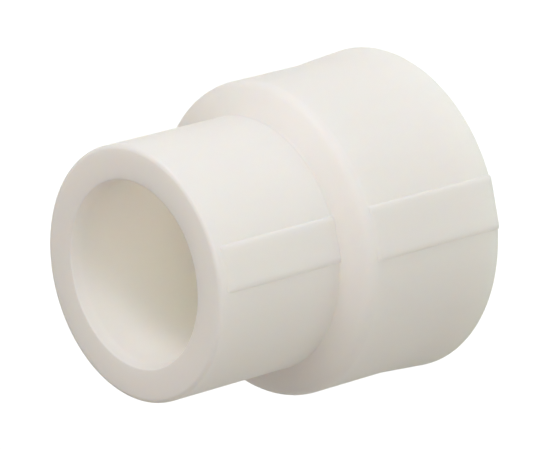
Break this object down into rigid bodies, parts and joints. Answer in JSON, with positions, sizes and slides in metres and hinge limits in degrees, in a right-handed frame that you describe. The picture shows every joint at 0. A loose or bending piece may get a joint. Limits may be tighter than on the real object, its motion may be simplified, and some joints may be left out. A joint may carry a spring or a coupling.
{
  "type": "reducing coupling",
  "caption": "Plain reducing coupling for socket-fusion plastic pipe: a small and a large socket in line, joined by a rounded shoulder, with flat marking pads.",
  "frame": {"origin": "centre of the large socket's mouth, in the plane of its end face", "axes": "+Z along the bore from the large socket to the small one; the marking pads face -Y and +Y"},
  "size_m": [0.0436, 0.0438, 0.0445],
  "materials": {
    "moulded_plastic": "warm white polypropylene as moulded, satin, slightly translucent"
  },
  "bodies": {
    "root": {"coupling_body": "moulded_plastic"}
  },
  "joints": []
}
